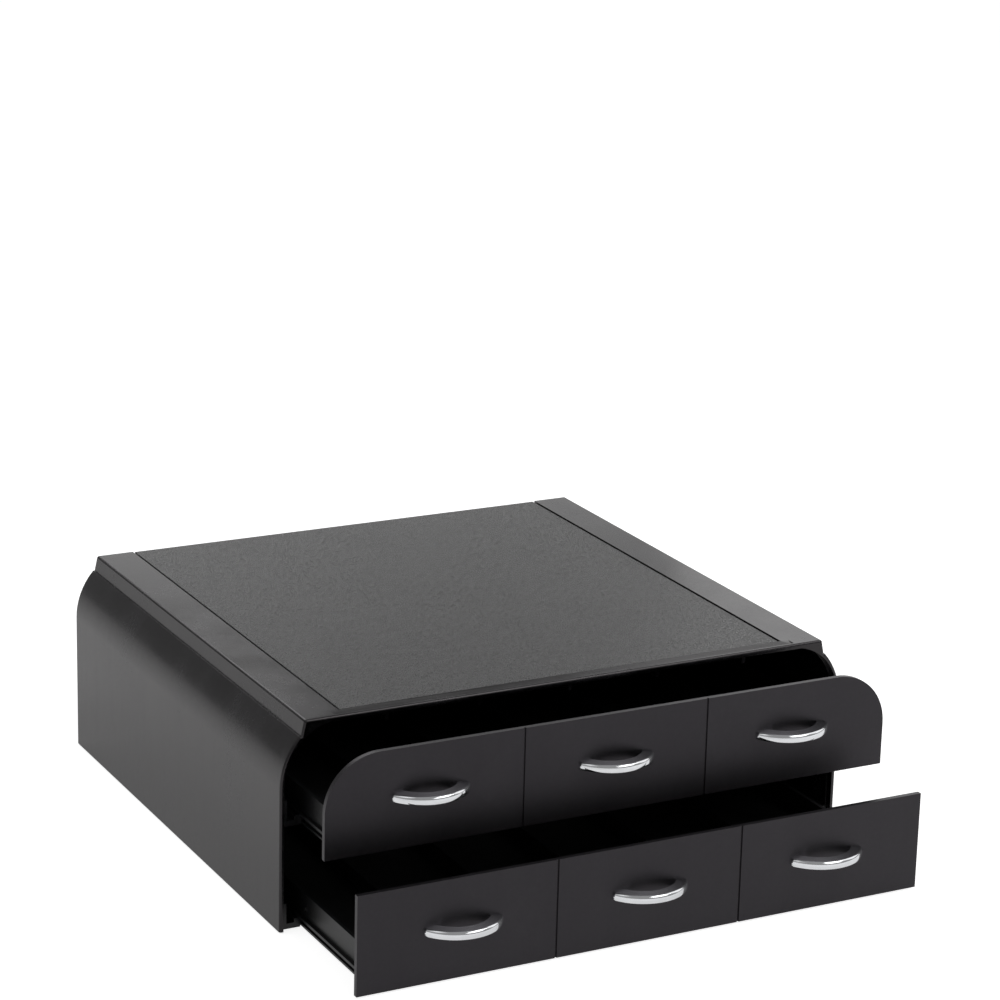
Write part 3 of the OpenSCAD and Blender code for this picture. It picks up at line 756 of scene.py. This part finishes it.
class POD_OT_stage(bpy.types.Operator):
    """Sets the pale floor, the even light, the soft lamps and the camera"""

    bl_idname = "pod_cabinet.stage"
    bl_label = "Stage and camera"
    bl_options = {"REGISTER", "UNDO"}

    def execute(self, context):
        scene = context.scene
        scene.view_settings.view_transform = "Standard"
        self.add_floor(scene.pod_studio)
        self.add_sky(scene)
        for lamp in LAMPS:
            self.add_lamp(*lamp)
        self.add_camera(scene)
        return {"FINISHED"}

    def add_floor(self, studio):
        """A round pale floor that glows where the camera sees it, so that it looks white."""
        bpy.ops.object.select_all(action="DESELECT")
        bpy.ops.mesh.primitive_circle_add(vertices=96, radius=studio.floor_radius, fill_type="NGON",
                                          location=(0, 0, -studio.floor_drop))
        floor = bpy.context.object
        floor.name = "studio_floor"
        material = bpy.data.materials.new("studio_floor")
        material.use_nodes = True
        tree = material.node_tree
        tree.nodes.clear()
        matt = add_node(tree, "ShaderNodeBsdfDiffuse", opaque(studio.floor), fields={"Roughness": 0.5})
        lift = times(tree, background_share(tree, studio.mirrored_floor), studio.floor_lift)
        glow = add_node(tree, "ShaderNodeEmission", WHITE, lift)
        both = add_node(tree, "ShaderNodeAddShader", matt.outputs[0], glow.outputs[0])
        add_node(tree, "ShaderNodeOutputMaterial", both.outputs[0])
        floor.data.materials.append(material)

    def add_sky(self, scene):
        """Even light from all round, and a white background where the camera sees it."""
        world = bpy.data.worlds.new("studio_world")
        world.use_nodes = True
        tree = world.node_tree
        tree.nodes.clear()
        seen = background_share(tree, scene.pod_studio.mirrored_sky)
        strength = remap(tree, seen, (0.0, 1.0), (scene.pod_studio.sky, 1.0))
        sky = add_node(tree, "ShaderNodeBackground", WHITE, strength)
        add_node(tree, "ShaderNodeOutputWorld", sky.outputs[0])
        scene.world = world

    def add_lamp(self, name, place, target, size, watts, spread):
        """A soft white card that shines from its place towards a target and isn't seen itself."""
        lamp = bpy.data.lights.new(name, "AREA")
        lamp.shape = "RECTANGLE"
        lamp.size, lamp.size_y = size
        lamp.energy = watts
        lamp.spread = math.radians(spread)
        holder = new_object(name, lamp)
        holder.location = place
        holder.rotation_euler = (Vector(target) - Vector(place)).to_track_quat("-Z", "Y").to_euler()
        holder.visible_camera = False

    def add_camera(self, scene):
        """The camera, turned and tilted first and rolled about its own line of sight last."""
        studio = scene.pod_studio
        camera = bpy.data.cameras.new("camera")
        camera.lens = studio.lens
        camera.clip_end = studio.reach
        holder = new_object("camera", camera)
        holder.location = studio.eye
        aim = Euler((math.pi / 2 - studio.pitch, 0, -studio.yaw)).to_quaternion()
        holder.rotation_mode = "QUATERNION"
        holder.rotation_quaternion = aim @ Quaternion((0, 0, 1), studio.roll)
        scene.camera = holder


class POD_OT_housing(bpy.types.Operator):
    """Moulds the outer shell, with its softer front edge, and the back panel"""

    bl_idname = "pod_cabinet.housing"
    bl_label = "Housing shell"
    bl_options = {"REGISTER", "UNDO"}

    def execute(self, context):
        sizes = context.scene.pod_sizes
        shell = copy_of_node("housing_shell", "housing_shell_moulding")
        self.soften_front(shell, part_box("housing_shell")[0].y, sizes.arch_round)
        round_edges(shell, sizes.shell_round)
        dress(shell, "housing_plastic", "housing_shell")
        moulded_copy("back_panel", "housing_plastic", sizes.shell_round)
        return {"FINISHED"}

    def soften_front(self, shell, front_y, width):
        """Rounds the outer edge of the front face, from one foot over the arch to the other."""
        def outer(edge):
            """Whether an edge parts the front face from a face that looks up or outwards."""
            if len(edge.link_faces) != 2 or any(abs(vertex.co.y - front_y) > WELD for vertex in edge.verts):
                return False
            front, side = sorted((face.normal for face in edge.link_faces), key=lambda normal: normal.y)
            middle = (edge.verts[0].co + edge.verts[1].co) / 2
            outward = side.x * middle.x > 0.0 or side.z > MOSTLY
            return front.y < -FACING and abs(side.y) < MOSTLY and outward

        start_edit(shell)
        pick(shell, "edges", outer)
        bpy.ops.mesh.bevel(offset=width, segments=5, affect="EDGES")
        end_edit()


class POD_OT_top_panel(bpy.types.Operator):
    """Lays the grained panel in the top"""

    bl_idname = "pod_cabinet.top_panel"
    bl_label = "Grained top panel"
    bl_options = {"REGISTER", "UNDO"}

    def execute(self, context):
        moulded_copy("top_panel", "grained_panel", context.scene.pod_sizes.shell_round)
        return {"FINISHED"}


class POD_OT_runners(bpy.types.Operator):
    """Moulds the four drawer runners and the rubber feet"""

    bl_idname = "pod_cabinet.runners"
    bl_label = "Runners and feet"
    bl_options = {"REGISTER", "UNDO"}

    def execute(self, context):
        small_round = context.scene.pod_sizes.small_round
        for drawer in DRAWERS:
            for side in SIDES:
                moulded_copy(f"{drawer}_runner_{side}", "runner_plastic", small_round)
        moulded_copy("foot_pads", "foot_rubber", small_round)
        return {"FINISHED"}


class POD_OT_trays(bpy.types.Operator):
    """Moulds the pod trays and their stop clips"""

    bl_idname = "pod_cabinet.trays"
    bl_label = "Trays and stop clips"
    bl_options = {"REGISTER", "UNDO"}

    def execute(self, context):
        tray_round = context.scene.pod_sizes.tray_round
        for drawer in DRAWERS:
            moulded_copy(f"{drawer}_tray", "tray_plastic", tray_round)
            moulded_copy(f"{drawer}_stop_clips", "runner_plastic", tray_round)
        return {"FINISHED"}


class POD_OT_fronts(bpy.types.Operator):
    """Moulds the two drawer fronts"""

    bl_idname = "pod_cabinet.fronts"
    bl_label = "Drawer fronts"
    bl_options = {"REGISTER", "UNDO"}

    def execute(self, context):
        for drawer in DRAWERS:
            moulded_copy(f"{drawer}_front", "front_plastic", context.scene.pod_sizes.plate_round)
        return {"FINISHED"}


class POD_OT_handles(bpy.types.Operator):
    """Shapes the six chrome bow handles"""

    bl_idname = "pod_cabinet.handles"
    bl_label = "Bow handles"
    bl_options = {"REGISTER", "UNDO"}

    def execute(self, context):
        for drawer in DRAWERS:
            for place in HANDLES:
                node = f"{drawer}_handle_{place}"
                dress(bow_handle(node, context.scene.pod_sizes), "handle_chrome", node)
        return {"FINISHED"}


class POD_OT_screws(bpy.types.Operator):
    """Turns every screw: pan heads with cross recesses and threaded shanks"""

    bl_idname = "pod_cabinet.screws"
    bl_label = "Screws"
    bl_options = {"REGISTER", "UNDO"}

    def execute(self, context):
        sizes = context.scene.pod_sizes
        screw_set("runner_screws", sizes, lambda lowest: lowest.x < 0)
        screw_set("back_screws", sizes)
        for drawer in DRAWERS:
            screw_set(f"{drawer}_handle_screws", sizes)
            screw_set(f"{drawer}_front_screws", sizes)
        return {"FINISHED"}


class POD_PT_cabinet(bpy.types.Panel):
    """Lists the pieces of the cabinet in the order they are built, and the settings"""

    bl_label = "Pod Cabinet"
    bl_space_type = "VIEW_3D"
    bl_region_type = "UI"
    bl_category = "Pod Cabinet"

    def draw(self, context):
        for operator in OPERATORS:
            self.layout.operator(operator.bl_idname)
        for settings in (context.scene.pod_sizes, context.scene.pod_colours, context.scene.pod_studio):
            box = self.layout.box()
            for name in settings.__annotations__:
                box.prop(settings, name)


OPERATORS = (POD_OT_stage, POD_OT_housing, POD_OT_top_panel, POD_OT_runners, POD_OT_trays, POD_OT_fronts,
             POD_OT_handles, POD_OT_screws)
CLASSES = (PodCabinetSizes, PodCabinetColours, PodCabinetStudio, *OPERATORS, POD_PT_cabinet)


def register():
    """Adds the classes and gives every scene its settings."""
    for kind in CLASSES:
        bpy.utils.register_class(kind)
    bpy.types.Scene.pod_sizes = bpy.props.PointerProperty(type=PodCabinetSizes)
    bpy.types.Scene.pod_colours = bpy.props.PointerProperty(type=PodCabinetColours)
    bpy.types.Scene.pod_studio = bpy.props.PointerProperty(type=PodCabinetStudio)


def unregister():
    """Takes the settings and the classes away."""
    del bpy.types.Scene.pod_sizes
    del bpy.types.Scene.pod_colours
    del bpy.types.Scene.pod_studio
    for kind in reversed(CLASSES):
        bpy.utils.unregister_class(kind)


def main():
    """Builds the cabinet piece by piece."""
    register()
    for operator in OPERATORS:
        getattr(bpy.ops.pod_cabinet, operator.bl_idname.split(".")[1])()


if __name__ == "__main__":
    main()
